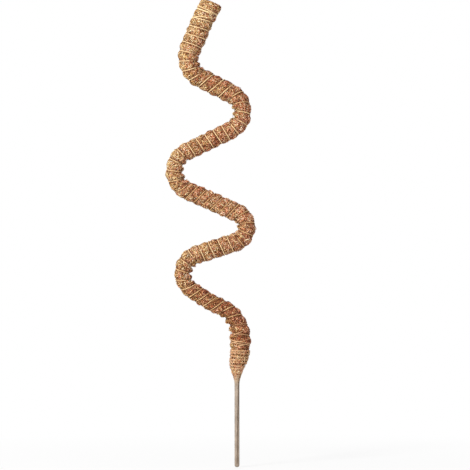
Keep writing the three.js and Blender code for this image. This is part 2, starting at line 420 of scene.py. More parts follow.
fibreForm = {  # what all sorts of fibre share
    "toneLow": 0.32,
    "toneSpread": 0.2,
    "patchSpread": 0.06,
    "patchDetail": 2.0,
    "goldPatch": 1.6,  # how much the share of golden fibres differs from patch to patch
    "goldLow": -0.3,
    "looseness": 12.0,  # higher lets fewer fibres stand off
    "shortest": 0.55,  # shares of the given length
    "longest": 1.35,
    "toneCurl": 60.0,  # sets the curl of one fibre apart from the next
    "layerCurl": 45.0,
    "curlReach": 3.0,
    "riseSpread": 2.2,
    "riseLayer": 1.1,
    "riseLow": -0.25,
    "held": 0.95,  # how flat a turn of twine holds the fibres
    "heldDepth": 0.35,
    # painted shade: how dark a fibre is painted by its height and by the twine pressing on it
    "shadeMiddle": 0.42,
    "shadeRise": 0.42,
    "heldShade": 0.3,
    "endTaper": 0.7,
    "thinnest": 0.6,
    "widthSpread": 0.75,
    "sides": 3,
    "fullTurn": 6.2832,
}
fibreSeeds = {"tone": 21, "layer": 22, "loose": 23, "length": 24, "turn": 25, "mottle": 26, "gold": 27}
patchPlaces = {"tone": 3.0, "gold": 5.0, "rise": 9.0}  # keep the noises apart


def scatterFibres(tree, given, form):  # straight fibres, lying every way on the surface
    seeds = fibreSeeds
    inputs = {0: given["Geometry"], 4: given["Density"], 6: given["Seed"]}
    spots = addNode(tree, "GeometryNodeDistributePointsOnFaces", inputs)
    place = addNode(tree, "GeometryNodeInputPosition").outputs[0]
    patch = noise(tree, place, patchPlaces["tone"], given["Patch Scale"], form["patchDetail"])[0]
    tone = timesPlus(tree, patch, form["patchSpread"], form["toneLow"])
    tone = timesPlus(tree, chance(tree, 0.0, 1.0, seeds["tone"]), form["toneSpread"], tone)
    tone = calc(tree, "ADD", tone, given["Tone Shift"])
    rooted = store(tree, spots.outputs[0], "tone", limited(tree, tone, named(tree, "tint")))
    rooted = store(tree, rooted, "layer", chance(tree, 0.0, 1.0, seeds["layer"]))
    loose = calc(tree, "POWER", chance(tree, 0.0, 1.0, seeds["loose"]), form["looseness"])
    rooted = store(tree, rooted, "loose", loose)
    # share of golden fibres: random patches, plus the painted light held in the guide's gold values
    share = noise(tree, place, patchPlaces["gold"], given["Patch Scale"])[0]
    share = timesPlus(tree, share, form["goldPatch"], named(tree, "gold"))
    share = calc(tree, "ADD", share, form["goldLow"])
    golden = calc(tree, "LESS_THAN", chance(tree, 0.0, 1.0, seeds["gold"]), share)
    rooted = store(tree, rooted, "golden", golden)

    line = addNode(tree, "GeometryNodeCurvePrimitiveLine", {0: (-0.5, 0, 0), 1: (0.5, 0, 0)}).outputs[0]
    line = addNode(tree, "GeometryNodeResampleCurve", {0: line, 2: given["Points"]}).outputs[0]
    reach = chance(tree, form["shortest"], form["longest"], seeds["length"])
    reach = times(tree, times(tree, given["Length"], reach), named(tree, "reach"))
    size = addNode(tree, "ShaderNodeCombineXYZ", {0: reach, 1: 1.0, 2: 1.0}).outputs[0]
    inputs = {0: rooted, 2: line, 5: spots.outputs[2], 6: size}
    laid = addNode(tree, "GeometryNodeInstanceOnPoints", inputs).outputs[0]
    turn = chance(tree, 0.0, form["fullTurn"], seeds["turn"])
    turn = addNode(tree, "ShaderNodeCombineXYZ", {2: turn}).outputs[0]
    laid = addNode(tree, "GeometryNodeRotateInstances", {0: laid, 2: turn, 4: True}).outputs[0]
    return addNode(tree, "GeometryNodeRealizeInstances", {0: laid}).outputs[0]


def curlFibres(tree, given, form, strands):  # curled, pressed down under the twine and laid in layers, with painted shade by depth
    surface = given["Geometry"]
    here = addNode(tree, "GeometryNodeInputPosition").outputs[0]
    own = times(tree, named(tree, "tone"), form["toneCurl"])
    own = timesPlus(tree, named(tree, "layer"), form["layerCurl"], own)
    spotted = chance(tree, -1.0, 1.0, fibreSeeds["mottle"])
    spotted = timesPlus(tree, spotted, given["Mottle"], named(tree, "tone"))
    swirl = noise(tree, here, own, given["Curl Scale"])[1]
    swirl = vectorCalc(tree, "SUBTRACT", swirl, (0.5, 0.5, 0.5))
    swirl = vectorCalc(tree, "SCALE", swirl, times(tree, given["Curl"], form["curlReach"]))
    moved = vectorCalc(tree, "ADD", here, swirl)
    inputs = {0: surface, 2: moved}
    nearest = addNode(tree, "GeometryNodeProximity", inputs, target_element="FACES").outputs[0]
    normal = addNode(tree, "GeometryNodeInputNormal").outputs[0]
    inputs = {0: surface, 1: normal, 3: moved}
    outward = addNode(tree, "GeometryNodeSampleNearestSurface", inputs, data_type="FLOAT_VECTOR")
    outward = outward.outputs[0]
    inputs = {0: surface, 1: named(tree, "groove"), 3: moved}
    pressed = addNode(tree, "GeometryNodeSampleNearestSurface", inputs).outputs[0]

    rise = noise(tree, here, calc(tree, "ADD", own, patchPlaces["rise"]), given["Curl Scale"])[0]
    rise = calc(tree, "SUBTRACT", rise, 0.5)
    layer = timesPlus(tree, named(tree, "layer"), form["riseLayer"], form["riseLow"])
    rise = timesPlus(tree, rise, form["riseSpread"], layer)
    free = timesPlus(tree, pressed, -form["held"], 1.0)
    rise = timesPlus(tree, rise, free, times(tree, pressed, -form["heldDepth"]))
    along = addNode(tree, "GeometryNodeSplineParameter").outputs[0]
    lift = times(tree, calc(tree, "POWER", along, 2.0), named(tree, "loose"))
    lift = times(tree, lift, times(tree, given["Stray"], free))
    lift = timesPlus(tree, rise, given["Layer"], lift)
    place = vectorCalc(tree, "ADD", nearest, vectorCalc(tree, "SCALE", outward, lift))
    strands = addNode(tree, "GeometryNodeSetPosition", {0: strands, 2: place}).outputs[0]
    # painted shade: darker where a turn of twine presses the fibre down and where the fibre lies low
    shade = timesPlus(tree, pressed, -form["heldShade"], form["shadeMiddle"])
    shade = timesPlus(tree, rise, form["shadeRise"], shade)
    strands = store(tree, strands, "shade", limited(tree, shade))
    strands = store(tree, strands, "tone", limited(tree, spotted))
    return store(tree, strands, "golden", named(tree, "golden"))


def makeFibreTree(form):  # curly fibres felted over a surface
    tree, given = newTree("coirFibres", [
        ("Density", "Float"), ("Length", "Float"), ("Radius", "Float"), ("Curl", "Float"),
        ("Curl Scale", "Float"), ("Layer", "Float"), ("Stray", "Float"), ("Patch Scale", "Float"),
        ("Tone Shift", "Float"), ("Mottle", "Float"), ("Points", "Int"), ("Seed", "Int"),
        ("Material", "Material")])
    strands = curlFibres(tree, given, form, scatterFibres(tree, given, form))
    along = addNode(tree, "GeometryNodeSplineParameter").outputs[0]
    ends = calc(tree, "POWER", calc(tree, "ABSOLUTE", timesPlus(tree, along, 2.0, -1.0)), 4.0)
    width = timesPlus(tree, named(tree, "layer"), form["widthSpread"], form["thinnest"])
    width = times(tree, timesPlus(tree, ends, -form["endTaper"], 1.0), width)
    inputs = {0: form["sides"], 4: given["Radius"]}
    profile = addNode(tree, "GeometryNodeCurvePrimitiveCircle", inputs).outputs[0]
    inputs = {0: strands, 1: profile, 2: width, 3: True}
    tubes = addNode(tree, "GeometryNodeCurveToMesh", inputs).outputs[0]
    return endTree(tree, tubes, given["Material"])


twineForm = {  # what all twine and yarn share
    "plyShift": 20.0,  # sets the grain of one ply apart from the next
    "grainScale": 260.0,
    "grainDetail": 3.0,
    "wideScale": 40.0,
    "widePlace": 5.0,
    "toneGrain": 0.9,
    "toneWide": 0.7,
    "toneLow": -0.3,
    # painted shade: a ply is lighter on its outer side and darker where it turns in to the other
    "shadeMiddle": 0.62,
    "shadeTurn": 0.22,
    "thinnest": 0.75,
    "widthGrain": 0.5,
}


def makeTwineTree(form):  # plies twisted around a path
    tree, given = newTree("twinePlies", [
        ("Ply Radius", "Float"), ("Ply Offset", "Float"), ("Lay", "Float"), ("Plies", "Int"),
        ("Sides", "Int"), ("Flatten", "Float"), ("Material", "Material")])
    path = addNode(tree, "GeometryNodeMeshToCurve", {0: given["Geometry"]}).outputs[0]
    inputs = {0: path, 2: given["Plies"]}
    plies = addNode(tree, "GeometryNodeDuplicateElements", inputs, domain="SPLINE").outputs
    ply = calc(tree, "DIVIDE", plies[1], given["Plies"])
    turn = calc(tree, "ADD", calc(tree, "DIVIDE", named(tree, "along"), given["Lay"]), ply)
    turn = times(tree, turn, 2 * math.pi)
    outward = named(tree, "outward", "FLOAT_VECTOR")
    tangent = addNode(tree, "GeometryNodeInputTangent").outputs[0]
    across = vectorCalc(tree, "CROSS_PRODUCT", tangent, outward)
    rise = times(tree, calc(tree, "COSINE", turn), given["Ply Offset"])
    rise = vectorCalc(tree, "SCALE", outward, times(tree, rise, given["Flatten"]))
    sway = times(tree, calc(tree, "SINE", turn), given["Ply Offset"])
    offset = vectorCalc(tree, "ADD", rise, vectorCalc(tree, "SCALE", across, sway))
    here = addNode(tree, "GeometryNodeInputPosition").outputs[0]
    own = times(tree, ply, form["plyShift"])
    grain = noise(tree, here, own, form["grainScale"], form["grainDetail"])[0]
    wide = noise(tree, here, form["widePlace"], form["wideScale"])[0]
    tone = timesPlus(tree, wide, form["toneWide"], form["toneLow"])
    tone = timesPlus(tree, grain, form["toneGrain"], tone)
    laid = store(tree, plies[0], "tone", limited(tree, tone, named(tree, "tint")))
    # painted shade: each ply lighter on its outer side and darker where it turns in to the other
    shade = timesPlus(tree, calc(tree, "COSINE", turn), form["shadeTurn"], form["shadeMiddle"])
    laid = store(tree, laid, "shade", limited(tree, shade))
    laid = addNode(tree, "GeometryNodeSetPosition", {0: laid, 3: offset}).outputs[0]
    inputs = {0: given["Sides"], 4: given["Ply Radius"]}
    profile = addNode(tree, "GeometryNodeCurvePrimitiveCircle", inputs).outputs[0]
    width = timesPlus(tree, grain, form["widthGrain"], form["thinnest"])
    inputs = {0: laid, 1: profile, 2: width, 3: True}
    tubes = addNode(tree, "GeometryNodeCurveToMesh", inputs).outputs[0]
    return endTree(tree, tubes, given["Material"])


fibreTree = makeFibreTree(fibreForm)
twineTree = makeTwineTree(twineForm)
print("trees: fibres and twine")


def newMaterial(name, roughness, gloss):
    material = bpy.data.materials.new(name)
    material.use_nodes = True
    tree = material.node_tree
    tree.nodes.clear()
    inputs = {"Roughness": roughness, "Specular IOR Level": gloss}
    shader = addNode(tree, "ShaderNodeBsdfPrincipled", inputs)
    addNode(tree, "ShaderNodeOutputMaterial", {0: shader.outputs[0]})
    return material, tree, shader


def ramp(tree, value, stops):
    node = addNode(tree, "ShaderNodeValToRGB", {0: value})
    points = node.color_ramp.elements
    while len(points) < len(stops):
        points.new(0.5)
    for point, (place, colour) in zip(points, stops):
        point.position = place
        point.color = (*colour, 1)
    return node.outputs[0]


def blendColours(tree, kind, amount, first, second):
    inputs = {0: amount, 6: first, 7: second}
    return addNode(tree, "ShaderNodeMix", inputs, data_type="RGBA", blend_type=kind).outputs[2]


def attribute(tree, label):
    settings = {"attribute_name": label, "attribute_type": "GEOMETRY"}
    return addNode(tree, "ShaderNodeAttribute", **settings).outputs["Fac"]


def grainNoise(tree, place, scale, detail, twist=0.0):
    inputs = {"Vector": place, "Scale": scale, "Detail": detail, "Distortion": twist}
    return addNode(tree, "ShaderNodeTexNoise", inputs).outputs[0]


def addBump(tree, shader, height, strength, depth):
    inputs = {"Strength": strength, "Distance": depth, "Height": height}
    bump = addNode(tree, "ShaderNodeBump", inputs).outputs[0]
    tree.links.new(bump, shader.inputs["Normal"])


def strandMaterial(name, look):  # colour by strand, with painted shade: darker where it lies deep
    material, tree, shader = newMaterial(name, look["roughness"], look["gloss"])
    tone = attribute(tree, "tone")
    colour = ramp(tree, tone, look["tones"])
    if "golds" in look:
        gold = ramp(tree, tone, look["golds"])
        colour = blendColours(tree, "MIX", attribute(tree, "golden"), colour, gold)
    # painted shade: the strand's colour is multiplied towards a darker colour where it lies low
    depth = ramp(tree, attribute(tree, "shade"), [(0.0, look["deepShade"]), (openShade, (1, 1, 1))])
    colour = blendColours(tree, "MULTIPLY", 1.0, colour, depth)
    tree.links.new(colour, shader.inputs["Base Color"])
    return material


openShade = 0.55  # strands that lie higher than this keep their full colour, without painted shade
fibreLook = {
    "roughness": 0.62,
    "gloss": 0.35,
    "tones": [(0.0, (0.13, 0.018, 0.004)), (0.25, (0.49, 0.122, 0.04)), (0.55, (0.79, 0.325, 0.147)),
              (0.8, (0.95, 0.52, 0.297)), (1.0, (1.0, 0.79, 0.58))],  # of reddish fibres
    "golds": [(0.0, (0.11, 0.03, 0.005)), (0.25, (0.455, 0.188, 0.046)), (0.55, (0.73, 0.45, 0.165)),
              (0.8, (0.89, 0.66, 0.32)), (1.0, (1.0, 0.89, 0.62))],  # of golden ones
    # painted shade: the colour that fibres lying deep or under the twine darken towards
    "deepShade": (0.25, 0.09, 0.036),
}
# the coir under the fibres: a grain of its own, kept much darker than the fibres so that the gaps
# between them show as painted shade
coreLook = {
    "roughness": 0.9,
    "gloss": 0.15,
    "dark": (0.085, 0.026, 0.007),
    "light": (0.3, 0.135, 0.05),
    "darkAt": 0.35,
    "lightAt": 0.72,
    "scale": 330.0,
    "detail": 4.0,
    "twist": 1.5,
    "bump": 0.6,
    "bumpDepth": 0.0006,
}
twineLook = {
    "roughness": 0.7,
    "gloss": 0.3,
    "tones": [(0.0, (0.55, 0.3, 0.12)), (0.35, (0.87, 0.6, 0.31)), (0.7, (0.98, 0.77, 0.46)),
              (1.0, (1.0, 0.9, 0.63))],
    # painted shade: the colour that a twine ply darkens towards where it turns in to the other ply
    "deepShade": (0.55, 0.44, 0.33),
}
yarnLook = {
    "roughness": 0.65,
    "gloss": 0.3,
    "tones": [(0.0, (0.36, 0.17, 0.075)), (0.45, (0.6, 0.35, 0.18)), (1.0, (0.78, 0.58, 0.37))],
    # painted shade: the colour that a yarn ply darkens towards where it turns in to the other ply
    "deepShade": (0.42, 0.34, 0.28),
}


def coreMaterial(look):
    material, tree, shader = newMaterial("coirCore", look["roughness"], look["gloss"])
    place = addNode(tree, "ShaderNodeTexCoord").outputs["Object"]
    grain = grainNoise(tree, place, look["scale"], look["detail"], look["twist"])
    # partly painted shade: the core's dark grain fills the gaps between the fibres
    colour = ramp(tree, grain, [(look["darkAt"], look["dark"]), (look["lightAt"], look["light"])])
    tree.links.new(colour, shader.inputs["Base Color"])
    addBump(tree, shader, grain, look["bump"], look["bumpDepth"])
    return material


fibreMaterial = strandMaterial("coirFibre", fibreLook)
twineMaterial = strandMaterial("paleTwine", twineLook)
yarnMaterial = strandMaterial("coirYarn", yarnLook)
coirMaterial = coreMaterial(coreLook)
print("materials: coir, fibre, twine, yarn")

cuts = [coirStart]
for bendMiddle, strandMiddle in zip(bendMiddles, strandMiddles[1:]):
    cuts += [bendMiddle, strandMiddle]
cuts[-1] = poleEnd
cuts = np.array(cuts)  # ends of the soft lengths, each across one hinge
lengthCount = len(cuts) - 1


def bendWith(piece):
    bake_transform(piece)


def nodesOf(length, kind):  # solids that a soft length stands for
    bend = length // 2 + 1
    strand = bend if length % 2 else bend - 1
    return "%s_%d" % (kind, strand), "bend_%s_%d" % (kind, bend)


coirTints = [  # station in millimetres, shift of the fibres' tone
    (119, 0.14), (150, -0.08), (156, -0.46), (175, -0.16), (200, -0.35), (225, -0.35), (270, -0.03),
    (296, 0.08), (312, -0.04), (365, -0.02), (403, 0.1), (457, -0.1), (512, 0.1), (566, -0.16),
    (619, 0.03), (673, -0.2), (727, 0.1), (poleEnd, -0.04)]
goldAndLitShares = [  # station in millimetres, more of the golden fibres, a real tone placed mostly as painted light: the share rises where a bend turns its outside to the left, the lamp's side, and falls where it turns it to the right
    (119, 0.1), (140, -0.1), (200, -0.1), (240, 0.05), (265, -0.05), (295, 0.2), (330, 0), (367, -0.15),
    (400, 0), (455, -0.1), (511, 0.2), (583, -0.15), (637, -0.1), (690, 0.1), (poleEnd, 0.3)]
coirSizes = {
    "litSideGold": 0.4,  # painted light: the yellower, lighter golden fibres lie more to the left, the lamp's side
    "step": 0.9,  # millimetres from ring to ring
    "sides": 96,
    "endRise": 1.0,
    "endRings": (0.97, 0.9, 0.78, 0.6, 0.4, 0.2, 0.03),  # shares of the end's radius
    "innerTrim": 0.72,  # share by which fibres are shorter on the inside of a bend
    "leastBite": 0.1,  # millimetres, below which no groove holds the fibres
    "neckHold": (11, 15),  # millimetres from the whipping's middle, held to free
}


def makeCoirGrid(sizes):
    stations, marks = [], [0]
    for low, high in zip(cuts[:-1], cuts[1:]):
        count = max(2, round((high - low) / sizes["step"]))
        stations += list(np.linspace(low, high, count, endpoint=False))
        marks.append(len(stations))
    stations.append(cuts[-1])
    station, angle = ringGrid(stations, sizes["sides"])
    radius = coirRadius(station, angle)
    groove = grooveAt(station, angle) * (biteAt(station) > sizes["leastBite"])
    fromNeck = np.abs(station - (whipStart + whipEnd) / 2)
    groove = np.maximum(np.maximum(groove, 0) ** 2, 1 - smooth(fromNeck, *sizes["neckHold"]))
    shrink = np.array(sizes["endRings"])
    topRadius = radius[-1] * shrink[:, None]
    topStation = poleEnd + sizes["endRise"] * (1 - shrink[:, None] ** 2) + 0 * topRadius
    rootRadius = radius[0] * shrink[::-1, None]
    rootStation = coirStart + 0 * rootRadius
    station = np.concatenate([rootStation, station, topStation])
    radius = np.concatenate([rootRadius, radius, topRadius])
    groove = np.concatenate([np.ones_like(rootRadius), groove, np.zeros_like(topRadius)])
    angle = np.concatenate([angle[:len(shrink)], angle, angle[:len(shrink)]])
    marks = [m + len(shrink) for m in marks]
    marks[0] = 0
    marks[-1] = len(station) - 1
    points = onPole(np.minimum(station, poleEnd - coirEnd["sink"]), angle, radius)
    heading = centreLine(np.array(poleEnd))[2]
    over = np.maximum(station - poleEnd, 0)[..., None]
    points = points + over * np.array([math.sin(heading), 0, math.cos(heading)])
    reach = 1 - sizes["innerTrim"] * innerSide(np.minimum(station, poleEnd), angle)
    return points * millimetre, station, groove, reach, marks


coirPoints, coirStations, coirGrooves, fibreReach, coirMarks = makeCoirGrid(coirSizes)


bakeMap = {  # places in the map that colours are baked to, from 0 to 1
    "margin": 0.02,
    "cap": 0.005,
    "tone": 0.95,
    "shade": 0.45,
    "gold": 0.5,  # golden fibres have the upper half
    "spread": 0.003,  # keeps every face open
}


def addBakeMap(mesh, places):
    layer = mesh.uv_layers.new(name="OFBake")
    layer.uv.foreach_set("vector", places.astype(np.float32).ravel())


def tubePiece(name, points, material):  # a tube, closed at both ends
    rings, sides = points.shape[:2]
    faces = tubeFaces(rings, sides)
    place = points.reshape(-1, 3)
    corners = faces.ravel()
    starts = np.arange(len(faces)) * 4
    flat = tubeMap(rings, sides) * (1 - 2 * bakeMap["margin"]) + bakeMap["margin"]
    for ring, step in [(0, 1), (rings - 1, -1)]:  # own points, so that the wall keeps its smooth edge
        cap = np.arange(sides)[::step] + len(place)
        place = np.concatenate([place, points[ring]])
        starts = np.append(starts, len(corners))
        corners = np.concatenate([corners, cap])
        flat = np.concatenate([flat, np.full((sides, 2), bakeMap["cap"])])
    mesh = fillMesh(name, place, corners, starts)
    addBakeMap(mesh, flat)
    return placeObject(name, mesh, material)


for length in range(lengthCount):
    span = coirPoints[coirMarks[length]:coirMarks[length + 1] + 1]
    core = tubePiece("coir%d" % (length + 1), span, coirMaterial)
    bendWith(core)
    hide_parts(*nodesOf(length, "coir"))
print("coir:", lengthCount, "lengths,", coirPoints.shape[0], "rings")


def makeGuide():  # the whole coir in one mesh, for the fibres to lie on
    mesh = wallMesh("coirGuide", coirPoints)
    addValues(mesh, "station", coirStations)
    addValues(mesh, "groove", coirGrooves)
    addValues(mesh, "reach", fibreReach)
    addValues(mesh, "tint", np.interp(coirStations, *np.transpose(coirTints)))
    # painted light: more of the golden, lighter fibres on the side turned to the lamp
    outward = coirPoints - coirPoints.mean(1, keepdims=True)
    rightward = outward[..., 0] / (np.linalg.norm(outward, axis=2) + 1e-6)
    golds = np.interp(coirStations, *np.transpose(goldAndLitShares))
    addValues(mesh, "gold", golds - coirSizes["litSideGold"] * rightward)
    return placeObject("coirGuide", mesh)


def dropObject(piece):
    mesh = piece.data
    bpy.data.objects.remove(piece)
    bpy.data.meshes.remove(mesh)


def takeFaces(name, mesh, chosen, material):  # the chosen faces as a piece of their own
    totals = readFaces(mesh, "loop_total")
    points = np.zeros(len(mesh.vertices) * 3, np.float32)
    mesh.vertices.foreach_get("co", points)
    kept, corners = np.unique(readCorners(mesh)[np.repeat(chosen, totals)], return_inverse=True)
    starts = np.concatenate([[0], np.cumsum(totals[chosen])[:-1]])
    made = fillMesh(name, points.reshape(-1, 3)[kept], corners, starts)
    tone = readValues(mesh, "tone")[kept]
    shade = readValues(mesh, "shade")[kept]
    addValues(made, "tone", tone)
    addValues(made, "shade", shade)
    golden = np.zeros(len(kept))
    if "golden" in mesh.attributes:
        golden = readValues(mesh, "golden")[kept]
    addValues(made, "golden", golden)
    spread = (np.arange(len(kept)) % 3) * bakeMap["spread"]
    across = bakeMap["margin"] + bakeMap["tone"] * tone + spread
    up = bakeMap["margin"] + bakeMap["shade"] * shade + bakeMap["gold"] * golden + spread[::-1]
    addBakeMap(made, np.stack([across, up], -1)[corners])
    return placeObject(name, made, material)


def faceLengths(mesh):  # which soft length every face belongs to
    firsts = readCorners(mesh)[readFaces(mesh, "loop_start")]
    station = readValues(mesh, "station")[firsts]
    return np.clip(np.searchsorted(cuts, station) - 1, 0, lengthCount - 1)


def takeWhole(name, mesh, material):  # all faces, and the mesh they came from goes
    piece = takeFaces(name, mesh, np.ones(len(mesh.polygons), bool), material)
    bpy.data.meshes.remove(mesh)
    return piece


fineFibre = {
    "Density": 290000.0,  # on a square metre
    "Length": 0.012,
    "Radius": 0.00024,
    "Curl": 0.004,
    "Curl Scale": 190.0,
    "Layer": 0.0008,
    "Stray": 0.002,
    "Patch Scale": 75.0,
    "Tone Shift": 0.0,
    "Mottle": 0.7,
    "Points": 8,
    "Seed": 5,
    "Material": fibreMaterial,
}
coarseFibre = {
    "Density": 240000.0,
    "Length": 0.013,
    "Radius": 0.00035,
    "Curl": 0.0042,
    "Curl Scale": 200.0,
    "Layer": 0.001,
    "Stray": 0.0008,
    "Patch Scale": 110.0,
    "Tone Shift": 0.0,
    "Mottle": 0.9,
    "Points": 12,
    "Seed": 6,
    "Material": fibreMaterial,
}
darkFibre = {  # thin hairs over the rest
    "Density": 45000.0,
    "Length": 0.012,
    "Radius": 0.0002,
    "Curl": 0.0036,
    "Curl Scale": 110.0,
    "Layer": 0.0013,
    "Stray": 0.0008,
    "Patch Scale": 110.0,
    "Tone Shift": -0.45,
    "Mottle": 0.2,
    "Points": 8,
    "Seed": 7,
    "Material": fibreMaterial,
}


def feltCoir(name, guide, settings):
    felt = runTree(guide, fibreTree, settings)
    owners = faceLengths(felt)
    for length in range(lengthCount):
        fibres = takeFaces("%s%d" % (name, length + 1), felt, owners == length, fibreMaterial)
        bendWith(fibres)
    print(name + ":", len(felt.polygons), "faces")
    bpy.data.meshes.remove(felt)


coirGuide = makeGuide()
feltCoir("fineFibre", coirGuide, fineFibre)
feltCoir("coarseFibre", coirGuide, coarseFibre)
feltCoir("darkFibre", coirGuide, darkFibre)
dropObject(coirGuide)

twineSizes = {
    "step": 0.75,  # millimetres from point to point
    "seat": 0.6,  # centre above the groove's floor
    "sink": 0.35,  # how far it goes in and out of the fibres
    "sinkTurn": 1.37,  # how often, for each radian and each millimetre
    "sinkRate": 0.11,
    "bendSink": 0.3,  # how much deeper it lies along the bends
    "wander": 0.5,  # how far a turn strays from its line
    "wanderRate": 0.61,
    "wanderSwing": 1.3,
}
twineTints = [  # station in millimetres, shift of the twine's tone
    (160, 0.0), (180, -0.35), (280, -0.35), (310, -0.05), (345, -0.05), (365, -0.4), (430, -0.45),
    (480, -0.3), (530, -0.2), (555, -0.05), (600, -0.1), (630, -0.3), (660, -0.05), (poleEnd, 0.0)]
twinePlies = {
    "Ply Radius": 0.00038,
    "Ply Offset": 0.00032,
    "Lay": 0.0042,
    "Plies": 2,
    "Sides": 5,
    "Flatten": 0.9,
    "Material": twineMaterial,
}


def pathMesh(name, points, outward, along, tint):
    mesh = bpy.data.meshes.new(name)
    edges = np.stack([np.arange(len(points) - 1), np.arange(1, len(points))], -1)
    mesh.from_pydata(points.tolist(), edges.tolist(), [])
    addValues(mesh, "along", along)
    addValues(mesh, "tint", tint)
    direction = mesh.attributes.new("outward", "FLOAT_VECTOR", "POINT")
    direction.data.foreach_set("vector", outward.astype(np.float32).ravel())
    return placeObject(name, mesh)


def windPath(name, station, angle, radius):  # a path around the pole, in millimetres
    points = onPole(station, angle, radius)
    outward = onPole(station, angle, radius + 1) - points
    along = np.concatenate([[0], np.cumsum(np.linalg.norm(np.diff(points, axis=0), axis=1))])
    tint = np.interp(station, *np.transpose(twineTints))
    return pathMesh(name, points * millimetre, outward, along * millimetre, tint)


def windTwine(name, station, angle, radius, plies, material):
    path = windPath(name + "Path", station, angle, radius)
    mesh = runTree(path, twineTree, plies)
    dropObject(path)
    return takeWhole(name, mesh, material)


def twineCourse(low, high):
    turnLength = 2 * np.pi * poleShape["coirRadius"]
    count = int((turnsAt(high) - turnsAt(low)) * turnLength / twineSizes["step"]) + 2
    level = np.interp(np.linspace(turnsAt(low), turnsAt(high), count), turnCounts, turnMarks)
    angle = backAngle + 2 * np.pi * turnsAt(level)
    phase = level * twineSizes["wanderRate"] + twineSizes["wanderSwing"] * np.cos(angle)
    sway = np.sin(phase) * twineSizes["wander"]
    station = level - eased(level, poleShape["leans"]) * np.cos(angle) + sway
    return station, angle


for length in range(lengthCount):
    low, high = max(cuts[length], woundStart), min(cuts[length + 1], woundEnd)
    station, angle = twineCourse(low, high)
    phase = angle * twineSizes["sinkTurn"] + twineSizes["sinkRate"] * station
    seat = twineSizes["seat"] + twineSizes["sink"] * np.sin(phase)
    seat = seat - twineSizes["bendSink"] * np.clip(abs(bentAt(station)), 0, 1)
    radius = coirRadius(station, angle) + seat
    finish = twineMaterial if length else yarnMaterial  # coir yarn low down, pale twine above
    twine = windTwine("twine%d" % (length + 1), station, angle, radius, twinePlies, finish)
    bendWith(twine)
    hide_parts(*nodesOf(length, "twine"))
print("twine:", lengthCount, "lengths")

neckYarn = {
    "Ply Radius": 0.00068,
    "Ply Offset": 0.00056,
    "Lay": 0.0075,
    "Plies": 2,
    "Sides": 6,
    "Flatten": 0.8,
    "Material": yarnMaterial,
}
neckSizes = {  # millimetres
    "turns": 7,
    "pointsPerTurn": 90,
    "from": 121.2,
    "to": 147.6,
    "seat": 0.85,
    "firstSeat": 0.25,  # share of the seat at the lowest turn
    "seatLength": 9,
    "waver": 0.4,
    "waverRates": (0.37, 1.31),
    "secondWaver": 0.6,
    "bob": 0.2,
    "bobRate": 0.73,
}
neckFuzz = {
    "Density": 170000.0,
    "Length": 0.011,
    "Radius": 0.00022,
    "Curl": 0.0025,
    "Curl Scale": 120.0,
    "Layer": 0.0005,
    "Stray": 0.003,
    "Patch Scale": 110.0,
    "Tone Shift": 0.15,
    "Mottle": 0.6,
    "Points": 7,
    "Seed": 8,
    "Material": fibreMaterial,
}


def makeNeckWhipping(sizes):
    share = np.linspace(0, 1, sizes["turns"] * sizes["pointsPerTurn"] + 1)
    angle = backAngle + 2 * np.pi * share * sizes["turns"]
    station = sizes["from"] + share * (sizes["to"] - sizes["from"])
    slow, fast = sizes["waverRates"]
    waver = np.sin(angle * slow) + sizes["secondWaver"] * np.sin(angle * fast)
    station = station + sizes["waver"] * waver
    rising = smooth(station, sizes["from"], sizes["from"] + sizes["seatLength"])
    seat = sizes["seat"] * (sizes["firstSeat"] + (1 - sizes["firstSeat"]) * rising)
    radius = coirRadius(station, angle) + seat + sizes["bob"] * np.sin(angle * sizes["bobRate"])
    whipping = windTwine("neckWhipping", station, angle, radius, neckYarn, yarnMaterial)
    addValues(whipping.data, "reach", np.ones(len(whipping.data.vertices)))
    fuzz = takeWhole("neckFuzz", runTree(whipping, fibreTree, neckFuzz), fibreMaterial)
    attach(fuzz, "stake")
    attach(whipping, "stake")
    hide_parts("neck_whipping")


makeNeckWhipping(neckSizes)
print("neck whipping:", neckSizes["turns"], "turns")

crossYarns = [  # start and end station, angle at the middle, turns, which way round
    {"from": woundStart - 2, "to": woundStart + 19, "angle": 1.75, "turns": 1.3, "hand": -1},
    {"from": woundStart - 1, "to": woundStart + 16, "angle": 1.2, "turns": 1.5, "hand": 1},
    {"from": woundStart + 2, "to": woundStart + 21, "angle": 4.6, "turns": 1.2, "hand": -1},
]
crossPlies = {**neckYarn, "Ply Radius": 0.00045, "Ply Offset": 0.00036, "Lay": 0.005}
crossSizes = {"pointsPerTurn": 110, "yarnSeat": 0.3, "twineSeat": 0.5}
crossTwines = [
    {"from": poleEnd - 33, "to": poleEnd - 10, "angle": 1.5, "turns": 0.9, "hand": -1},
    {"from": poleEnd - 15, "to": poleEnd - 10, "angle": 0.0, "turns": 1.7, "hand": 1},
]


def makeCross(name, course, plies, material, seat):
    count = int(course["turns"] * crossSizes["pointsPerTurn"])
    share = np.linspace(-0.5, 0.5, count)
    station = (course["from"] + course["to"]) / 2 + share * (course["to"] - course["from"])
    angle = course["angle"] + course["hand"] * share * course["turns"] * 2 * np.pi
    radius = coirRadius(station, angle) + seat
    bendWith(windTwine(name, station, angle, radius, plies, material))


for number, course in enumerate(crossYarns):
    makeCross("crossYarn%d" % (number + 1), course, crossPlies, yarnMaterial, crossSizes["yarnSeat"])
for number, course in enumerate(crossTwines):
    name = "crossTwine%d" % (number + 1)
    makeCross(name, course, twinePlies, twineMaterial, crossSizes["twineSeat"])
print("crossed strands:", len(crossYarns) + len(crossTwines))

